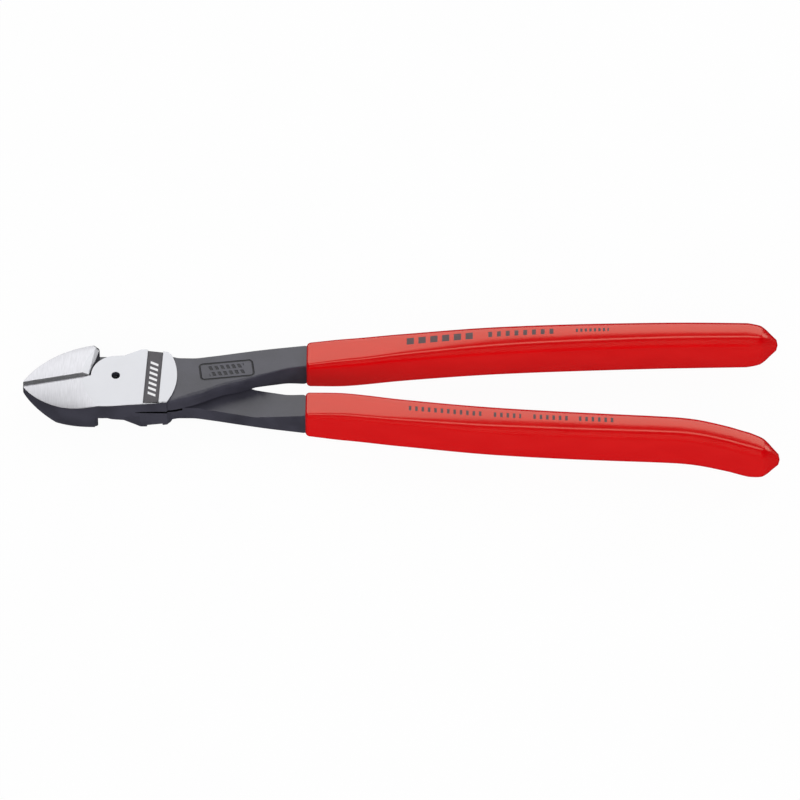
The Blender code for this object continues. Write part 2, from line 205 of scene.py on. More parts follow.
def eased(knots, x):
    """Value at x of a smooth curve through (x, value) knots that never runs past a knot's value."""
    if x <= knots[0][0]:
        return knots[0][1]
    if x >= knots[-1][0]:
        return knots[-1][1]
    steps = [(b[1] - a[1]) / (b[0] - a[0]) for a, b in zip(knots, knots[1:])]
    means = [2 * a * b / (a + b) if a * b > 0 else 0.0 for a, b in zip(steps, steps[1:])]
    tangents = [steps[0], *means, steps[-1]]
    for (x0, y0), (x1, y1), m0, m1 in zip(knots, knots[1:], tangents, tangents[1:]):
        if x <= x1:
            span = x1 - x0
            t = (x - x0) / span
            lead = t * t * (3 - 2 * t) * (y1 - y0)
            return y0 + lead + span * t * (1 - t) * ((1 - t) * m0 - t * m1)


def spaced(start, end, steps):
    return [start + (end - start) * i / steps for i in range(steps + 1)]


def arc(radius, start_deg, end_deg, steps):
    """Points on an arc about the axle."""
    return [(radius * math.cos(math.radians(a)), radius * math.sin(math.radians(a)))
            for a in spaced(start_deg, end_deg, steps)]


def rounded_corner(before, corner, after, radius, steps):
    """Points of the arc that rounds one corner of an outline."""
    corner = Vector(corner)
    back = (Vector(before) - corner).normalized()
    ahead = (Vector(after) - corner).normalized()
    half = back.angle(ahead) / 2
    reach = radius / math.tan(half)
    centre = corner + (back + ahead).normalized() * (radius / math.sin(half))
    first = corner + back * reach - centre
    last = corner + ahead * reach - centre
    return [tuple(centre + first.slerp(last, i / steps)) for i in range(steps + 1)]


# Meshes


def wrapped(rings, finish=FORGED):
    """Closed body through rings of as many points each: a grid wrapped round on itself, its ends filled."""
    around = len(rings[0])
    along = len(rings) - 1
    bm = bmesh.new()
    bmesh.ops.create_grid(bm, x_segments=around, y_segments=along, size=0.5)
    for vert in bm.verts:
        column = round((vert.co.x + 0.5) * around) % around
        row = round((vert.co.y + 0.5) * along)
        vert.co = rings[row][column]
    bmesh.ops.remove_doubles(bm, verts=bm.verts, dist=WELD)
    bmesh.ops.holes_fill(bm, edges=[e for e in bm.edges if e.is_boundary], sides=0)
    bmesh.ops.recalc_face_normals(bm, faces=bm.faces)
    for face in bm.faces:
        face.material_index = finish
    return bm


def prism(outline, low, high, side=FORGED, cap=FORGED):
    """Outline in X and Y, extruded from low to high along Z."""
    bm = bmesh.new()
    base = bm.faces.new([bm.verts.new((x, y, low)) for x, y in outline])
    raised = bmesh.ops.extrude_face_region(bm, geom=[base], use_keep_orig=True)
    verts = [item for item in raised["geom"] if isinstance(item, bmesh.types.BMVert)]
    bmesh.ops.translate(bm, vec=(0, 0, high - low), verts=verts)
    bmesh.ops.recalc_face_normals(bm, faces=bm.faces)
    for face in bm.faces:
        face.material_index = cap if abs(face.normal.z) > 0.5 else side
    return bm


def turned(profile, finish=GROUND):
    """Solid of revolution about the axle from (radius, z) points that start and end on the axis."""
    bm = bmesh.new()
    verts = [bm.verts.new((radius, 0, z)) for radius, z in profile]
    edges = [bm.edges.new(pair) for pair in zip(verts, verts[1:])]
    bmesh.ops.spin(
        bm, geom=verts + edges, cent=(0, 0, 0), axis=(0, 0, 1), angle=2 * math.pi, steps=TURN_STEPS,
        use_merge=True, use_duplicate=False
    )
    bmesh.ops.remove_doubles(bm, verts=bm.verts, dist=WELD)
    bmesh.ops.recalc_face_normals(bm, faces=bm.faces)
    for face in bm.faces:
        face.material_index = finish
    return bm


def helper(bm):
    """Unplaced object that holds a bmesh while a Boolean reads it."""
    mesh = bpy.data.meshes.new("helper")
    bm.to_mesh(mesh)
    bm.free()
    made = bpy.data.objects.new("helper", mesh)
    bpy.context.scene.collection.objects.link(made)
    return made


def machined(body, joined=(), cut=()):
    """A body with others joined on and then others cut away, as a new bmesh. All of them are used up."""
    host = helper(body)
    tools = [(helper(bm), "UNION") for bm in joined] + [(helper(bm), "DIFFERENCE") for bm in cut]
    for tool, operation in tools:
        modifier = host.modifiers.new(operation, "BOOLEAN")
        modifier.operation = operation
        modifier.solver = "EXACT"
        modifier.object = tool
    graph = bpy.context.evaluated_depsgraph_get()
    made = bmesh.new()
    made.from_object(host, graph)
    for used in [host] + [tool for tool, _ in tools]:
        mesh = used.data
        bpy.data.objects.remove(used)
        bpy.data.meshes.remove(mesh)
    return made


def softened(bm, width, segments, sharper_than_deg, kept):
    """Rounds the edges of a machined body, apart from the kept ones."""
    limit = math.radians(sharper_than_deg)
    chosen = [e for e in bm.edges if e.is_manifold and e.calc_face_angle() > limit and not kept(e)]
    bmesh.ops.bevel(
        bm, geom=chosen, offset=width, offset_type="OFFSET", affect="EDGES", segments=segments, profile=0.5,
        clamp_overlap=False, material=-1
    )


def add_piece(name, bm, place, materials, body, replaced=(), sharp_deg=40):
    """Finished piece from a bmesh in millimetres, riding on its body."""
    bm.transform(place @ Matrix.Diagonal((MM, MM, MM, 1)))
    mesh = bpy.data.meshes.new(name)
    bm.to_mesh(mesh)
    bm.free()
    for finish in materials:
        mesh.materials.append(finish)
    mesh.shade_smooth()
    mesh.set_sharp_from_angle(angle=math.radians(sharp_deg))
    piece = bpy.data.objects.new(name, mesh)
    bpy.context.scene.collection.objects.link(piece)
    normals = piece.modifiers.new("flat faces", "WEIGHTED_NORMAL")
    normals.weight = 100
    normals.keep_sharp = True
    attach(piece, body)
    if replaced:
        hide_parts(*replaced)
    return piece


def placement(head, turned_over):
    """Where a half's own frame lies in the world."""
    turn = Matrix.Rotation(math.pi, 4, "X") if turned_over else Matrix()
    return Matrix.Translation((0, 0, head.thickness / 2 * MM)) @ turn


# Head


# A jaw face's slope, where it starts and the radius of its crown
FRONT_FACE = (0.27, 11.2, 54.0)
REAR_FACE = (0.47, 20.0, 42.0)
REAR_FACE_LEVEL_START = 19.8
FACE_SLOPE, FACE_START, _ = FRONT_FACE
CREST_DEG = 26.0
HUB_END_DEGS = (96.0, 179.0)
BUMP_SHELF = (8.2, 9.9)
BUMP_CREST = (17.2, 0.9)
BUMP_STEP = (5.4, 1.3)
BUMP_FOOT = (2.6, 0.2)
BUMP_ROUND = 1.2
CHIN_START = -0.7
SHOULDER_CLEARANCE = 0.18
SHOULDER_LEAN = 0.32
# Width of the shoulder's 45 degree chamfer, from the cutting line to the jaw's outer edge
SHOULDER_CHAMFERS = ((0.0, 0.35), (1.0, 1.45))
CORNER_RADIUS = 1.5
OVERCUT = 1.0
PLATE_GAP = 0.16
FRONT_BEVEL_WIDTH = 1.1
FRONT_BEVEL_DEPTH = 0.8
REAR_BEVEL_SLOPE = 0.25
EDGE_LENGTH_END = 10.9
EDGE_RUNOUT = 2.7
# The gap along the lap's open side: distance from the axle, side of the half, level, opening and depth
SEAM = ((6.6, -12.6, 2.2, 0.3, 0.8), (9.0, -12.4, 1.8, 0.8, 5.0), (14.0, -11.6, 1.1, 1.0, 6.0),
        (19.0, -10.4, 0.4, 1.1, 7.0), (24.0, -8.7, -0.1, 1.5, 7.0), (30.0, -6.3, -0.1, 1.6, 7.0),
        (36.0, -3.5, -0.1, 1.4, 5.0), (41.0, -1.7, -0.1, 0.5, 1.0))
SEAM_MOUTH = 2.0
BAND_LEAN = 0.052
BAND_LIP = 0.6
NECK_ROOT = 14.0
NECK_FACE_DROP = 0.6
NECK_MID_DROP = 1.1
NECK_END_INSET = 0.6
NECK_EDGE = 0.5
NECK_SOFT_EDGES = ((NECK_ROOT, 0.6), (26.0, 2.0), (38.0, 1.8), (52.0, 0.6))
LAP_END = 46.0
LAP_RAMP_SLOPE = 0.29
AXLE_SEAT_DEPTH = 4.5
AXLE_HEAD_DEPTH = 1.9
RIVET_EDGE = 0.15
AXLE_TOP_CHAMFER = 0.27
# Below the seat's floor: where the centre drilling's straight wall and its point end
CENTRE_DRILL_DEPTHS = (4.0, 5.0)
RUNNING_CLEARANCE = 0.06
PRESS_CLEARANCE = 0.03
GRIP_CLEARANCE = 0.05
TANG_END_INSET = 8.0
TANG_TAPER_SHARE = 0.6
TANG_EDGE = 0.9
LIP_BLEND = 14.0
LIP_INSIDE = (0.5, 6.0)
EDGE_ROUND = 0.12


def bow(head, steps):
    """The jaw's curved outer edge, from the tip to where it runs level."""
    points = []
    for turn in spaced(0, math.pi / 2, steps):
        along = math.cos(turn) ** 1.5
        rise = (1 - along**2.2) ** 0.85
        x = -head.bow_start - (head.jaw_reach - head.bow_start) * along
        points.append((x, -head.tip_half_width - (head.jaw_half_width - head.tip_half_width) * rise))
    return points


def head_outline(head):
    """Outline of a half's jaw and plate together, counter-clockwise seen from +Z."""
    heel = math.degrees(math.asin(head.heel_height / head.disc_radius))
    disc = arc(head.disc_radius, -heel, CREST_DEG, ARC_STEPS)
    shelf_end, shelf_start = BUMP_SHELF
    bump = [
        (BUMP_CREST[0], head.bump_height - BUMP_CREST[1]),
        (shelf_start, head.bump_height),
        (shelf_end, head.bump_height),
        (BUMP_STEP[0], head.bump_height - BUMP_STEP[1]),
        (BUMP_FOOT[0], head.hub_radius + BUMP_FOOT[1]),
    ]
    rounded = []
    for before, point, after in zip([disc[-1]] + bump, bump, bump[1:]):
        rounded += rounded_corner(before, point, after, BUMP_ROUND, BUMP_CORNER_STEPS)
    return [
        (-head.hub_radius, -head.edge_gap / 2),
        (-head.jaw_reach, -head.edge_gap / 2),
        *bow(head, ARC_STEPS),
        (-head.bow_start / 2, -head.jaw_half_width),
        (CHIN_START, -head.chin_height),
        *disc,
        *rounded,
        bump[-1],
        *arc(head.hub_radius, *HUB_END_DEGS, ARC_STEPS),
    ]


def shoulder(head, y):
    """X of the jaw's end wall at a distance y from the cutting line."""
    foot = (head.hub_radius + SHOULDER_CLEARANCE) * math.hypot(1, SHOULDER_LEAN)
    return -foot + SHOULDER_LEAN * y


def lap_cutter(head):
    """What is milled off the forging behind the plate: up to the jaw's shoulder, and out along the neck."""
    half = head.thickness / 2
    top = PLATE_GAP / 2
    far_side = 2 * head.jaw_half_width
    side = head.jaw_half_width + 0.05
    foot = (shoulder(head, 0), 0.0)
    corner = (shoulder(head, side), -side)
    beside = (-head.jaw_reach, -side)
    edge = [(foot[0], far_side), foot,
            *rounded_corner(foot, corner, beside, CORNER_RADIUS, SHOULDER_CORNER_STEPS),
            (-head.bow_start, -far_side)]
    widths = [eased(SHOULDER_CHAMFERS, -y / head.jaw_half_width) for _, y in edge]
    walls = [(x, y, top) for x, y in edge]
    chamfer = [(x, y, width - half) for (x, y), width in zip(edge, widths)]
    flare = [(x - width - OVERCUT, y, -half - OVERCUT) for (x, y), width in zip(edge, widths)]
    rings = []
    for ring, z in ((walls, top), (chamfer, OVERCUT - half), (flare, -half - OVERCUT)):
        end = LAP_END + (top - z) / LAP_RAMP_SLOPE
        rings.append(ring + [(end, -far_side, z), (end, far_side, z)])
    bm = wrapped(rings)
    for face in bm.faces:
        if face.calc_center_median().x < 0 and 0.3 < abs(face.normal.z) < 0.9:
            face.material_index = GROUND
    return bm


def seam_cutter():
    """The gap that opens between the halves below the plate and widens towards the neck; its faces take the
    near-black painted shade.
    """
    rings = []
    for x, side, level, opening, depth in SEAM:
        outer, inner = side - SEAM_MOUTH, side + depth
        rings.append([(x, outer, level), (x, outer, level + opening), (x, inner, level + 0.4 * opening),
                      (x, inner, level)])
    return wrapped(rings, PAINTED_GAP_SHADE)


def face_cutter(head, side, slope, start, crown_radius, level_start=0.0):
    """What is ground off above the jaw's crowned face; side is +1 or -1 along Z.

    The face slopes away to the tip from the start, and runs level from the level start to the axle.
    """
    wide = 1.5 * head.jaw_half_width
    profile = [(y, math.sqrt(crown_radius**2 - y * y) - crown_radius)
               for y in spaced(-wide, wide, CROWN_STEPS)]
    top = head.thickness
    profile += [(wide, top), (-wide, top)]
    rings = []
    for x in (-1.5 * head.jaw_reach, -level_start, head.hub_radius):
        level = head.thickness / 2 + slope * (min(x, -level_start) + start)
        rings.append([(x, y, side * (level + z)) for y, z in profile])
    return wrapped(rings, BRUSHED)


def edge_level(head, x):
    """Height of the cutting edge above the plane between the halves."""
    face = head.thickness / 2 + min(0.0, FACE_SLOPE * (x + FACE_START))
    runout = max(0.0, (x + EDGE_LENGTH_END) / EDGE_RUNOUT)
    return face - FRONT_BEVEL_DEPTH * (1 - runout)


def front_bevel_cutter(head):
    """Shallow groove over the cutting line, running out to a point at the hub."""
    rise = 6.0
    half = rise * FRONT_BEVEL_WIDTH / FRONT_BEVEL_DEPTH
    rings = []
    for x in (-1.2 * head.jaw_reach, -FACE_START, -EDGE_LENGTH_END, EDGE_RUNOUT - EDGE_LENGTH_END + 0.5):
        level = edge_level(head, x)
        rings.append([(x, 0.0, level), (x, half, level + rise), (x, -half, level + rise)])
    return wrapped(rings, BRUSHED)


def rear_bevel_cutter(head):
    """Deep relief behind the cutting edges."""
    drop = 1.5 * head.thickness
    half = drop * REAR_BEVEL_SLOPE
    rings = []
    for x, lowered in ((-1.2 * head.jaw_reach, 0.0), (-FACE_START, 0.0),
                       (shoulder(head, 0) + 0.5, 1.1 * head.thickness)):
        level = edge_level(head, min(x, -EDGE_LENGTH_END)) - lowered
        rings.append([(x, 0.0, level), (x, -half, level - drop), (x, half, level - drop)])
    return wrapped(rings, BRUSHED)


def band_cutter(head):
    """Shallow slot across the plate, open at the bump and closed by a lip at the heel."""
    half = head.thickness / 2
    low = -(head.chin_height + head.heel_height) / 2 + BAND_LIP
    high = head.bump_height + 3
    reach = head.band_width / 2
    outline = [(head.band_centre + dx + BAND_LEAN * y, y)
               for dx, y in ((-reach, low), (reach, low), (reach, high), (-reach, high))]
    return prism(outline, half - head.band_depth, half + 1, GROUND, RECESS)


# Handles


def handle_centre(grip, x, curled):
    """Distance of the handle's centre line from the tool's axis."""
    centre = grip.spread + grip.bow * eased(HANDLE_SHAPE, along_grip(grip, x))
    if curled and x > grip.tail_start:
        centre += grip.tail_curl * eased(TAIL_SHAPE, (x - grip.tail_start) / (grip.reach - grip.tail_start))
    return centre


def along_grip(grip, x):
    return (x - grip.grip_start) / (grip.reach - grip.grip_start)


def grip_half_sizes(grip, x):
    """Half width and half thickness of the grip, before its lip and its pointed end."""
    along = along_grip(grip, x)
    return eased(GRIP_WIDTHS, along) / 2, eased(GRIP_THICKNESSES, along) / 2


def grip_wall(grip, x):
    return eased(((grip.grip_start, grip.lip_wall), (grip.grip_start + LIP_BLEND, grip.wall)), x)


def section(
    x, centre, half_width, half_thickness, corners, crown=0.0, lean=0.0, steps=BAR_CORNER_STEPS, flats=1
):
    """Ring square to X: a rectangle with rounded corners and crowned sides, its outer side leant forward.

    The corners are the radii at outer front, inner front, inner rear and outer rear.
    """
    limit = 0.95 * min(half_width, half_thickness)
    arcs = []
    for quarter, (side_y, side_z) in enumerate(((1, 1), (-1, 1), (-1, -1), (1, -1))):
        corner = min(corners[quarter], limit)
        arcs.append([
            Vector((
                side_y * (half_width - corner) + corner * math.cos(math.radians(angle)),
                side_z * (half_thickness - corner) + corner * math.sin(math.radians(angle)),
            ))
            for angle in spaced(90 * quarter, 90 * (quarter + 1), steps)
        ])
    ring = []
    for near, far in zip(arcs, arcs[1:] + arcs[:1]):
        ring += near
        ring += [near[-1].lerp(far[0], i / flats) for i in range(1, flats)]
    shaped = []
    for point in ring:
        y = point.x * (1 + crown * (1 - (point.y / half_thickness) ** 2))
        z = point.y * (1 + crown * (1 - (point.x / half_width) ** 2))
        shaped.append((x, centre + y, z + lean * y))
    return shaped


def neck_section(head, grip, x):
    """Section of the neck: flat sides with broken edges, softer on the inner side by the joint."""
    half_width, half_thickness = (size - grip.lip_wall for size in grip_half_sizes(grip, grip.grip_start))
    root = handle_centre(grip, grip.grip_start, False)
    outer = eased((*NECK_OUTER, (grip.grip_start, root + half_width)), x)
    inner = eased((*NECK_INNER, (grip.grip_start, root - half_width)), x)
    face = head.thickness / 2 - NECK_FACE_DROP
    middle = head.thickness / 2 - NECK_MID_DROP
    level = eased(((NECK_ROOT, face), (LAP_END, middle), (grip.grip_start, half_thickness)), x)
    soft = eased((*NECK_SOFT_EDGES, (grip.grip_start, NECK_EDGE)), x)
    corners = (NECK_EDGE, soft, NECK_EDGE, NECK_EDGE)
    return section(x, (outer + inner) / 2, (outer - inner) / 2, level, corners)


def end_scale(x, end, taper):
    """How far the section has drawn in at x on the way to a pointed end."""
    return eased(END_SHAPE, (x - end + taper) / taper)


def tang_section(grip, x, end, curled, clearance):
    """Section of the bar inside the grip, or with clearance of the hollow around it."""
    half_width, half_thickness = grip_half_sizes(grip, x)
    scale = max(0.06, end_scale(x, end, grip.end_taper * TANG_TAPER_SHARE))
    half_width = (half_width - grip_wall(grip, x)) * scale + clearance
    half_thickness = (half_thickness - grip_wall(grip, x)) * scale + clearance
    return section(
        x, handle_centre(grip, x, curled), half_width, half_thickness, (TANG_EDGE + clearance,) * 4
    )


def tang_stations(grip, end):
    straight = end - grip.end_taper * TANG_TAPER_SHARE
    return spaced(grip.grip_start, straight, TANG_STEPS) + spaced(straight, end, TANG_END_STEPS)[1:]


def handle_bar(head, grip, curled):
    """Neck and tang in one bar, rooted inside the head."""
    end = grip.reach - TANG_END_INSET
    neck_end = grip.grip_start - NECK_END_INSET
    rings = [neck_section(head, grip, x) for x in spaced(NECK_ROOT, neck_end, NECK_STEPS)]
    rings += [tang_section(grip, x, end, curled, 0.0) for x in tang_stations(grip, end)]
    return wrapped(rings)


def grip_ring(grip, x, curled, scale=1.0, inset=0.0):
    half_width, half_thickness = grip_half_sizes(grip, x)
    along = along_grip(grip, x)
    corner = eased(GRIP_CORNERS, along)
    return section(
        x, handle_centre(grip, x, curled), half_width * scale - inset, half_thickness * scale - inset,
        (corner,) * 4, eased(GRIP_CROWNS, along), eased(GRIP_LEANS, along), CORNER_STEPS, FLAT_STEPS
    )


def sleeve(grip, curled):
    """Dipped skin from the pointed end to the rounded lip and a little way in over the bar."""
    rings = []
    straight = grip.reach - grip.end_taper
    for x in reversed(spaced(straight, grip.reach, SLEEVE_END_STEPS)[1:]):
        rings.append(grip_ring(grip, x, curled, max(1e-3, end_scale(x, grip.reach, grip.end_taper))))
    for x in reversed(spaced(grip.grip_start + grip.lip, straight, SLEEVE_STEPS)):
        rings.append(grip_ring(grip, x, curled))
    for turn in spaced(0, 90, LIP_STEPS)[1:]:
        x = grip.grip_start + grip.lip * (1 - math.sin(math.radians(turn)))
        inset = (grip.lip_wall - GRIP_CLEARANCE) * (1 - math.cos(math.radians(turn)))
        rings.append(grip_ring(grip, x, curled, inset=inset))
    for x in spaced(*(grip.grip_start + inside for inside in LIP_INSIDE), LIP_INSIDE_STEPS):
        rings.append(grip_ring(grip, x, curled, inset=grip_wall(grip, x) - GRIP_CLEARANCE))
    return wrapped(rings)


# Materials


class Wire:
    """A shader socket that adds Math nodes when it is used in an expression."""

    def __init__(self, sheet, socket):
        self.sheet = sheet
        self.socket = socket

    def __add__(self, other):
        return self.sheet.math("ADD", self, other)

    __radd__ = __add__

    def __sub__(self, other):
        return self.sheet.math("SUBTRACT", self, other)

    def __rsub__(self, other):
        return self.sheet.math("SUBTRACT", other, self)

    def __mul__(self, other):
        return self.sheet.math("MULTIPLY", self, other)

    __rmul__ = __mul__

    def __truediv__(self, other):
        return self.sheet.math("DIVIDE", self, other)

    def abs(self):
        return self.sheet.math("ABSOLUTE", self)

    def most(self, other):
        return self.sheet.math("MAXIMUM", self, other)

    def fraction(self):
        return self.sheet.math("FRACT", self)

    def root(self):
        return self.sheet.math("SQRT", self)

    def sine(self):
        return self.sheet.math("SINE", self)


class Sheet:
    """One material being wired up."""

    def __init__(self, name):
        self.material = bpy.data.materials.new(name)
        self.material.use_nodes = True
        self.tree = self.material.node_tree
        self.shader = self.tree.nodes["Principled BSDF"]

    def plug(self, socket, value):
        if isinstance(value, Wire):
            self.tree.links.new(value.socket, socket)
        elif isinstance(value, bpy.types.NodeSocket):
            self.tree.links.new(value, socket)
        else:
            is_colour = isinstance(socket, bpy.types.NodeSocketColor)
            socket.default_value = (*value, 1.0)[:4] if is_colour else value

    def node(self, kind, settings=None, inputs=None):
        made = self.tree.nodes.new(kind)
        for name, value in (settings or {}).items():
            if name == "stops":
                ramp = made.color_ramp
                while len(ramp.elements) < len(value):
                    ramp.elements.new(0.5)
                for element, (position, shade) in zip(ramp.elements, value):
                    element.position = position
                    element.color = (shade, shade, shade, 1.0) if isinstance(shade, float) else (*shade, 1.0)
            else:
                setattr(made, name, value)
        for name, value in (inputs or {}).items():
            self.plug(made.inputs[name], value)
        return made

    def math(self, operation, *values):
        made = self.node("ShaderNodeMath", {"operation": operation}, dict(enumerate(values)))
        return Wire(self, made.outputs[0])

    def axes(self, vector):
        """The X, Y and Z of a vector socket."""
        parts = self.node("ShaderNodeSeparateXYZ", {}, {0: vector})
        return [Wire(self, socket) for socket in parts.outputs]

    def place(self):
        """Object coordinates in millimetres."""
        coordinates = self.node("ShaderNodeTexCoord")
        scaled = self.node("ShaderNodeVectorMath", {"operation": "SCALE"}, {0: coordinates.outputs["Object"]})
        scaled.inputs["Scale"].default_value = 1 / MM
        return scaled.outputs[0]

    def noise(self, where, scale, detail=2.0, stretch=(1, 1, 1), roughness=0.5):
        """Noise from 0 to 1. The scale is features per millimetre; the stretch divides it along an axis."""
        mapped = self.node("ShaderNodeMapping", {}, {"Vector": where, "Scale": [scale / s for s in stretch]})
        made = self.node(
            "ShaderNodeTexNoise", {}, {"Vector": mapped.outputs[0], "Scale": 1.0, "Detail": detail,
                                       "Roughness": roughness}
        )
        return Wire(self, made.outputs[0])

    def eased(self, value, low, high):
        """0 below low, 1 above high and smooth between."""
        made = self.node(
            "ShaderNodeMapRange", {"interpolation_type": "SMOOTHSTEP"},
            {"Value": value, "From Min": low, "From Max": high}
        )
        return Wire(self, made.outputs[0])

    def mix(self, share, first, second):
        made = self.node("ShaderNodeMix", {"data_type": "RGBA"}, {0: share, 6: first, 7: second})
        return made.outputs[2]

    def bump(self, height, distance, strength=1.0):
        made = self.node(
            "ShaderNodeBump", {}, {"Height": height, "Distance": distance * MM, "Strength": strength}
        )
        return made.outputs[0]

    def finish(self, **inputs):
        for name, value in inputs.items():
            self.plug(self.shader.inputs[name.replace("_", " ")], value)
        return self.material


def shade(tone, factor):
    return tuple(min(1.0, value * factor) for value in tone)


def forged_steel(finish):
    """Satin black oxide skin: fine grain, cloudy gloss, and an engraved frame on the front neck, its lines
    darkened as painted shade.
    """
    sheet = Sheet("forged_black_steel")
    place = sheet.place()
    grain = sheet.noise(place, 2.2, detail=5.0, roughness=0.65)
    clouds = sheet.noise(place, 0.09, detail=3.0)
    stamp_and_painted_shade = stamped_frame(sheet, place)
    tone = sheet.mix(sheet.eased(clouds, 0.3, 0.7), shade(finish.forged, 0.8), shade(finish.forged, 1.2))
    # Painted shade: the stamped frame's line and bars are darkened almost to black
    tone = sheet.mix(stamp_and_painted_shade * 0.95, tone, shade(finish.forged, 0.06))
    sheet.shader.inputs["Specular IOR Level"].default_value = 0.8
    return sheet.finish(
        Base_Color=tone,
        Metallic=0.0,
        Roughness=0.28 + 0.08 * clouds + 0.08 * grain + 0.3 * stamp_and_painted_shade,
        Normal=sheet.bump(grain * 0.03 - stamp_and_painted_shade * 0.45, 1.0),
    )


def rounded_box(x, y, half_x, half_y, radius):
    """Signed distance in millimetres to a rounded rectangle about the origin."""
    over_x = (x.abs() - (half_x - radius)).most(0.0)
    over_y = (y.abs() - (half_y - radius)).most(0.0)
    return (over_x * over_x + over_y * over_y).root() - radius


FRAME_CENTRE = (36.6, 3.4, 0.0)
FRAME_TILT = math.radians(8.0)
FRAME_HALF = (8.75, 3.2)
FRAME_CORNER = 1.2


def stamped_frame(sheet, place):
    """Line of the rounded frame stamped on the front neck, with two rows of plain bars in it: the mask for
    their bump and for the painted shade in them.
    """
    moved = sheet.node(
        "ShaderNodeMapping", {"vector_type": "TEXTURE"},
        {"Vector": place, "Location": FRAME_CENTRE, "Rotation": (0, 0, FRAME_TILT)}
    )
    x, y, z = sheet.axes(moved.outputs[0])
    distance = rounded_box(x, y, *FRAME_HALF, FRAME_CORNER)
    line = 1 - sheet.eased(distance.abs(), 0.14, 0.36)
    rows = (y.abs() - 1.25).abs()
    in_row = 1 - sheet.eased(rows, 0.7, 0.85)
    in_width = 1 - sheet.eased(x.abs(), 5.7, 5.9)
    slant = (x + y * 0.3) / 1.9
    bars = 1 - sheet.eased((slant.fraction() - 0.5).abs(), 0.2, 0.3)
    front = sheet.eased(z, 8.0, 9.0)
    return line.most(in_row * in_width * bars * 0.8) * front


def ground_steel(finish):
    """Finely ground and polished plate."""
    sheet = Sheet("ground_steel")
    place = sheet.place()
    lines = sheet.noise(place, 5.0, detail=3.0, stretch=(14, 1, 14))
    haze = sheet.noise(place, 0.12, detail=3.0)
    tone = sheet.mix(haze, shade(finish.ground, 0.94), shade(finish.ground, 1.05))
    return sheet.finish(
        Base_Color=tone,
        Metallic=1.0,
        Roughness=0.30 + 0.06 * lines + 0.05 * haze,
        Normal=sheet.bump(lines, 0.006),
    )


def brushed_steel(finish):
    """Jaw faces ground across the tool, which leaves coarse streaks."""
    sheet = Sheet("brushed_steel")
    place = sheet.place()
    coarse = sheet.noise(place, 3.4, detail=3.0, stretch=(1, 12, 12))
    fine = sheet.noise(place, 7.0, detail=2.0, stretch=(1, 22, 22))
    streaks = coarse * 0.6 + fine * 0.4
    share = sheet.eased(streaks, 0.32, 0.68)
    tone = sheet.mix(share, shade(finish.brushed, 0.9), shade(finish.brushed, 1.06))
    return sheet.finish(
        Base_Color=tone,
        Metallic=1.0,
        Roughness=0.38 + 0.12 * streaks,
        Normal=sheet.bump(streaks, 0.009),
    )


def recess_paint(finish, head):
    """Dull floor of the band, with a column of slanted stripes painted on the front one."""
    sheet = Sheet("recess_paint")
    place = sheet.place()
    x, y, z = sheet.axes(place)
    across = x - y * BAND_LEAN - head.band_centre
    inside = 1 - sheet.eased(across.abs(), 1.25, 1.4)
    slanted = y + across * 0.45 + 0.8
    ends = 1 - sheet.eased(slanted.abs(), 7.2, 7.3)
    step = (slanted / 2.1 + 0.5).fraction()
    stripe = 1 - sheet.eased((step - 0.5).abs(), 0.2, 0.26)
    marks = inside * ends * stripe * sheet.eased(z, head.thickness / 2, head.thickness / 2 + 1)
    speckle = sheet.noise(place, 3.0, detail=4.0)
    floor = sheet.mix(speckle, shade(finish.recess, 0.75), shade(finish.recess, 1.25))
    return sheet.finish(
        Base_Color=sheet.mix(marks, floor, finish.marks),
        Roughness=0.5 + 0.15 * speckle,
        Normal=sheet.bump(speckle * 0.02 + marks * 0.03, 1.0),
    )


def gap_grime(finish):
    """Near-black painted shade in the gap between the halves, with random specks."""
    sheet = Sheet("gap_grime")
    specks = sheet.noise(sheet.place(), 1.8, detail=4.0)
    return sheet.finish(
        # Near-black base colour: painted shade where the gap between the halves lies in shadow
        Base_Color=sheet.mix(specks, shade(finish.gap_shade_colour, 0.6), shade(finish.gap_shade_colour, 1.4)),
        Roughness=0.7 + 0.2 * specks,
        Normal=sheet.bump(specks, 0.04),
    )


# Rows of printed bars on each grip: start, end, pitch, inked share of the pitch and height
PRINTED = {
    "upper": ((96.0, 119.0, 3.9, 0.62, 2.7), (123.0, 145.0, 2.9, 0.45, 2.2), (152.0, 163.0, 1.5, 0.5, 1.4)),
    "lower": ((97.0, 121.0, 2.1, 0.4, 1.9), (125.0, 134.0, 2.1, 0.4, 1.9), (138.0, 150.0, 2.1, 0.4, 1.9),
              (153.0, 165.0, 2.1, 0.4, 1.9)),
}


# From a grip's centre line out to the middle of its printed rows
PRINT_OFFSET = 0.9


def dipped_plastic(finish, which):
    """Soft glossy vinyl with a faint ripple from dipping, and rows of printed bars."""
    sheet = Sheet(f"dipped_plastic_{which}")
    place = sheet.place()
    ripple = sheet.noise(place, 0.22, detail=2.0, stretch=(2.5, 1, 1))
    peel = sheet.noise(place, 1.4, detail=2.0)
    uv = sheet.node("ShaderNodeUVMap", {"uv_map": "print"})
    along, across, _ = (part * (1 / MM) for part in sheet.axes(uv.outputs[0]))
    ink = 0.0
    for start, end, pitch, share, height in PRINTED[which]:
        step = ((along - start) / pitch).fraction()
        from_middle = (along - (start + end) / 2).abs()
        reach = (end - start) / 2
        bar = 1 - sheet.eased(step, share - 0.03, share + 0.03)
        row = 1 - sheet.eased(across.abs(), height / 2 - 0.1, height / 2 + 0.1)
        span = 1 - sheet.eased(from_middle, reach - 0.1, reach + 0.1)
        ink = bar * row * span + ink
    skin = sheet.mix(ripple, shade(finish.grip, 0.94), shade(finish.grip, 1.06))
    sheet.shader.inputs["Specular IOR Level"].default_value = 1.0
    sheet.shader.inputs["Specular Tint"].default_value = (1.0, 0.85, 0.65, 1.0)
    return sheet.finish(
        Base_Color=sheet.mix(ink, skin, finish.ink),
        Roughness=0.16 + 0.06 * ripple + 0.04 * peel + ink * 0.35,
        Normal=sheet.bump(ripple * 0.05 + peel * 0.004, 1.0),
    )


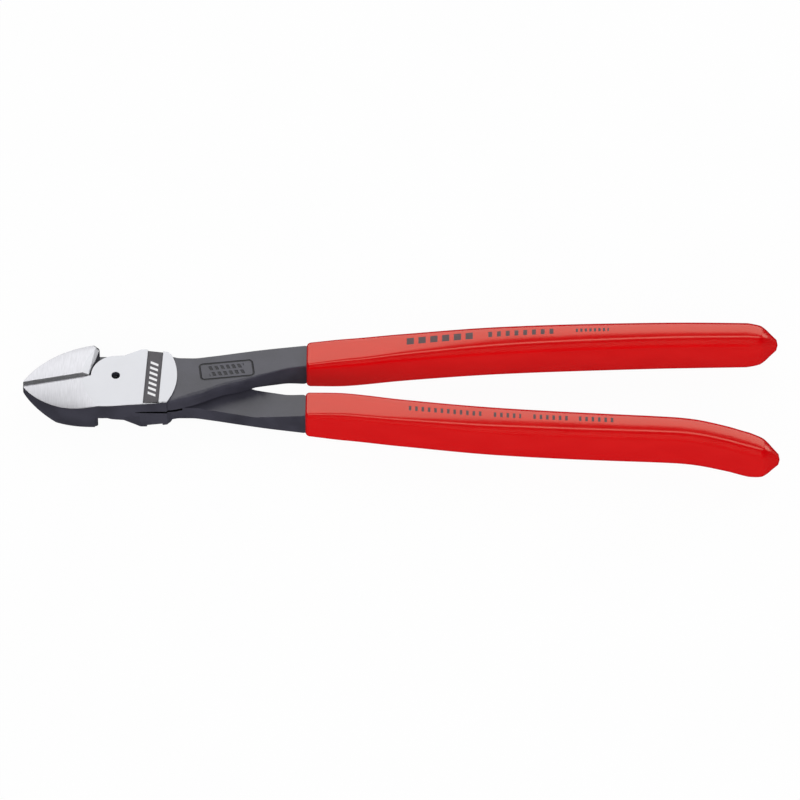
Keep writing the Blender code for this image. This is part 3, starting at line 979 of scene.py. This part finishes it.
def turned_steel(finish):
    """Riveted end of the axle, faced on a lathe."""
    sheet = Sheet("turned_steel")
    place = sheet.place()
    x, y, _ = sheet.axes(place)
    radius = (x * x + y * y).root()
    rings = (radius * 22.0).sine() * 0.5 + 0.5
    haze = sheet.noise(place, 0.6, detail=3.0)
    return sheet.finish(
        Base_Color=sheet.mix(haze, shade(finish.ground, 0.8), shade(finish.ground, 1.0)),
        Metallic=1.0,
        Roughness=0.26 + 0.08 * rings + 0.08 * haze,
        Normal=sheet.bump(rings, 0.005),
    )


# Operators


def on_cutting_edge(edge):
    return all(abs(vert.co.y) < 0.2 and vert.co.x < 0 for vert in edge.verts)


def lever_holes(head):
    """What is bored out of each half: a blind seat with a centre hole, and a flared through hole."""
    half = head.thickness / 2
    beyond = half + OVERCUT
    bore = head.axle_radius - PRESS_CLEARANCE + RUNNING_CLEARANCE
    rivet = head.axle_head_radius + RUNNING_CLEARANCE
    flare = (rivet - bore) / AXLE_HEAD_DEPTH
    seat_floor = AXLE_SEAT_DEPTH - OVERCUT
    seat = turned([(0, -OVERCUT), (head.axle_radius, -OVERCUT), (head.axle_radius, AXLE_SEAT_DEPTH),
                   (0, AXLE_SEAT_DEPTH)])
    centre_hole = turned([(0, seat_floor), (head.centre_hole_radius, seat_floor),
                          (head.centre_hole_radius, beyond), (0, beyond)], FORGED)
    through = turned([(0, beyond), (rivet + flare, beyond),
                      (bore, half - AXLE_HEAD_DEPTH - RUNNING_CLEARANCE), (bore, -OVERCUT), (0, -OVERCUT)])
    return {"front_lever": [seat, centre_hole], "rear_lever": [through]}


class PLIERS_OT_levers(bpy.types.Operator):
    """Both forged halves, milled and ground, with the tangs inside the grips."""

    bl_idname = "pliers.levers"
    bl_label = "Levers"

    def execute(self, context):
        scene = context.scene
        head = in_millimetres(scene.pliers_head)
        grip = in_millimetres(scene.pliers_handles)
        finish = scene.pliers_finish
        materials = [forged_steel(finish), ground_steel(finish), brushed_steel(finish),
                     recess_paint(finish, head), gap_grime(finish)]
        half = head.thickness / 2
        holes = lever_holes(head)
        halves = (("front_lever", False, "front_half"), ("rear_lever", True, "rear_half"))
        for name, turned_over, body in halves:
            front_side = -1 if turned_over else 1
            rear_level_start = 0.0 if turned_over else REAR_FACE_LEVEL_START
            bevels = [front_bevel_cutter(head), rear_bevel_cutter(head)]
            if turned_over:
                for cutter in bevels:
                    cutter.transform(Matrix.Rotation(math.pi, 4, "X"))
            shape = machined(
                prism(head_outline(head), -half, half, FORGED, GROUND),
                joined=[handle_bar(head, grip, turned_over)],
                cut=[lap_cutter(head), face_cutter(head, front_side, *FRONT_FACE),
                     face_cutter(head, -front_side, *REAR_FACE, rear_level_start),
                     seam_cutter(), band_cutter(head), *bevels, *holes[name]],
            )
            bmesh.ops.dissolve_limit(
                shape, angle_limit=math.radians(0.4), use_dissolve_boundaries=False, verts=shape.verts,
                edges=shape.edges, delimit={"MATERIAL"}
            )
            bmesh.ops.remove_doubles(shape, verts=shape.verts, dist=0.05)
            softened(shape, EDGE_ROUND, 2, 25, kept=on_cutting_edge)
            add_piece(f"{name}_forging", shape, placement(head, turned_over), materials, body,
                      [name])
        return {"FINISHED"}


class PLIERS_OT_axle(bpy.types.Operator):
    """The joint axle, riveted flush behind the rear half."""

    bl_idname = "pliers.axle"
    bl_label = "Axle"

    def execute(self, context):
        scene = context.scene
        head = in_millimetres(scene.pliers_head)
        half = head.thickness / 2
        shank = head.axle_radius - PRESS_CLEARANCE
        top = AXLE_SEAT_DEPTH - PRESS_CLEARANCE
        shape = turned([
            (0, -half),
            (head.axle_head_radius - RIVET_EDGE, -half),
            (head.axle_head_radius, RIVET_EDGE - half),
            (shank, AXLE_HEAD_DEPTH - half),
            (shank, top - AXLE_TOP_CHAMFER),
            (shank - AXLE_TOP_CHAMFER, top),
            (head.centre_hole_radius, top),
            (head.centre_hole_radius, AXLE_SEAT_DEPTH - CENTRE_DRILL_DEPTHS[0]),
            (0, AXLE_SEAT_DEPTH - CENTRE_DRILL_DEPTHS[1]),
        ])
        for face in shape.faces:
            face.material_index = 0
        finish = turned_steel(scene.pliers_finish)
        add_piece("riveted_axle", shape, placement(head, False), [finish], "front_half",
                  ["joint_axle"], 30)
        return {"FINISHED"}


class PLIERS_OT_grips(bpy.types.Operator):
    """Both dipped grips; the lower one's end curls outward."""

    bl_idname = "pliers.grips"
    bl_label = "Grips"

    def execute(self, context):
        scene = context.scene
        head = in_millimetres(scene.pliers_head)
        grip = in_millimetres(scene.pliers_handles)
        for name, curled, body in (("upper", False, "front_half"), ("lower", True, "rear_half")):
            shape = sleeve(grip, curled)
            side = -1 if curled else 1
            print_map = shape.loops.layers.uv.new("print")
            for face in shape.faces:
                face.material_index = 0
                facing = face.normal.z * side > 0.7
                for loop in face.loops:
                    x, y, _ = loop.vert.co
                    offset = side * (y - handle_centre(grip, x, curled))
                    loop[print_map].uv = (x * MM, (offset - PRINT_OFFSET) * MM) if facing else (0.0, 0.0)
            finish = dipped_plastic(scene.pliers_finish, name)
            add_piece(f"{name}_grip_skin", shape, placement(head, curled), [finish], body,
                      [f"{name}_grip"], 60)
        return {"FINISHED"}


CAMERA_DISTANCE = 3.0
CAMERA_AIM = Vector((0.0940, -0.0041, 0.0067))
FLOOR_DROP = 0.0005


def area_light(name, size, power, where, aim, glossy=True):
    lamp = bpy.data.lights.new(name, "AREA")
    lamp.shape = "RECTANGLE"
    lamp.size, lamp.size_y = size
    lamp.energy = power
    made = bpy.data.objects.new(name, lamp)
    bpy.context.scene.collection.objects.link(made)
    made.location = where
    made.rotation_euler = (Vector(aim) - Vector(where)).to_track_quat("-Z", "Y").to_euler()
    made.visible_glossy = glossy


def seen_from(centre, distance, azimuth_deg, elevation_deg):
    """Point at a distance from the centre; azimuth 0 is towards -Y and elevation is towards +Z."""
    a, e = math.radians(azimuth_deg), math.radians(elevation_deg)
    return centre + distance * Vector((math.sin(a) * math.cos(e), -math.cos(a) * math.cos(e), math.sin(e)))


class PLIERS_OT_stage(bpy.types.Operator):
    """Pale floor, soft studio light and the camera."""

    bl_idname = "pliers.stage"
    bl_label = "Stage"

    def execute(self, context):
        scene = context.scene
        stage = scene.pliers_stage
        low, high = frame_box
        middle = (low + high) / 2

        bm = bmesh.new()
        bmesh.ops.create_grid(bm, x_segments=1, y_segments=1, size=6.0)
        bmesh.ops.translate(bm, vec=(middle.x, middle.y, low.z - FLOOR_DROP), verts=bm.verts)
        mesh = bpy.data.meshes.new("floor")
        bm.to_mesh(mesh)
        bm.free()
        sheet = Sheet("pale_floor")
        mottle = sheet.noise(sheet.place(), 0.02, detail=2.0)
        tone = sheet.mix(mottle, shade(stage.floor, 0.99), stage.floor)
        mesh.materials.append(sheet.finish(
            Base_Color=shade(stage.floor, 0.03), Roughness=0.9, Emission_Color=tone, Emission_Strength=1.02
        ))
        sheet.shader.inputs["Specular IOR Level"].default_value = 0.0
        floor = bpy.data.objects.new("floor", mesh)
        scene.collection.objects.link(floor)
        floor.visible_glossy = False

        area_light("softbox", (3.0, 1.3), stage.softbox, seen_from(middle, 1.3, 180, 39), middle)
        area_light("strip", (2.4, 0.32), 5.0, seen_from(middle, 1.3, 0, 84), middle)
        area_light("fill", (2.0, 1.2), 24.0, seen_from(middle, 1.6, 0, 30), middle, glossy=False)
        area_light("side", (0.5, 0.5), 1.6, seen_from(middle, 1.4, 112, 14), middle)

        world = bpy.data.worlds.new("studio")
        world.use_nodes = True
        world.node_tree.nodes["Background"].inputs["Color"].default_value = (0.008, 0.008, 0.009, 1.0)
        world.node_tree.nodes["Background"].inputs["Strength"].default_value = 1.0
        scene.world = world

        lens = bpy.data.cameras.new("camera")
        lens.sensor_width = 36.0
        lens.lens = lens.sensor_width * CAMERA_DISTANCE / stage.view_width
        lens.clip_end = 20.0
        camera = bpy.data.objects.new("camera", lens)
        scene.collection.objects.link(camera)
        camera.location = seen_from(
            CAMERA_AIM, CAMERA_DISTANCE, math.degrees(stage.azimuth), math.degrees(stage.elevation)
        )
        camera.rotation_euler = (CAMERA_AIM - camera.location).to_track_quat("-Z", "Y").to_euler()
        scene.camera = camera
        scene.view_settings.view_transform = "Standard"
        return {"FINISHED"}


class PLIERS_PT_panel(bpy.types.Panel):
    """Lists what builds the pliers."""

    bl_idname = "PLIERS_PT_panel"
    bl_label = "Pliers"
    bl_space_type = "VIEW_3D"
    bl_region_type = "UI"
    bl_category = "Pliers"

    def draw(self, context):
        layout = self.layout
        for operator in OPERATORS:
            layout.operator(operator.bl_idname)
        for name in GROUPS:
            group = getattr(context.scene, name)
            box = layout.box()
            for field in type(group).__annotations__:
                box.prop(group, field)


GROUPS = {
    "pliers_head": PliersHead,
    "pliers_handles": PliersHandles,
    "pliers_finish": PliersFinish,
    "pliers_stage": PliersStage,
}
OPERATORS = (PLIERS_OT_levers, PLIERS_OT_axle, PLIERS_OT_grips, PLIERS_OT_stage)


def register():
    for made in (*GROUPS.values(), *OPERATORS, PLIERS_PT_panel):
        bpy.utils.register_class(made)
    for name, group in GROUPS.items():
        setattr(bpy.types.Scene, name, bpy.props.PointerProperty(type=group))


def unregister():
    for name in GROUPS:
        delattr(bpy.types.Scene, name)
    for made in reversed((*GROUPS.values(), *OPERATORS, PLIERS_PT_panel)):
        bpy.utils.unregister_class(made)


def main():
    register()
    bpy.ops.pliers.levers()
    bpy.ops.pliers.axle()
    bpy.ops.pliers.grips()
    bpy.ops.pliers.stage()


if __name__ == "__main__":
    main()
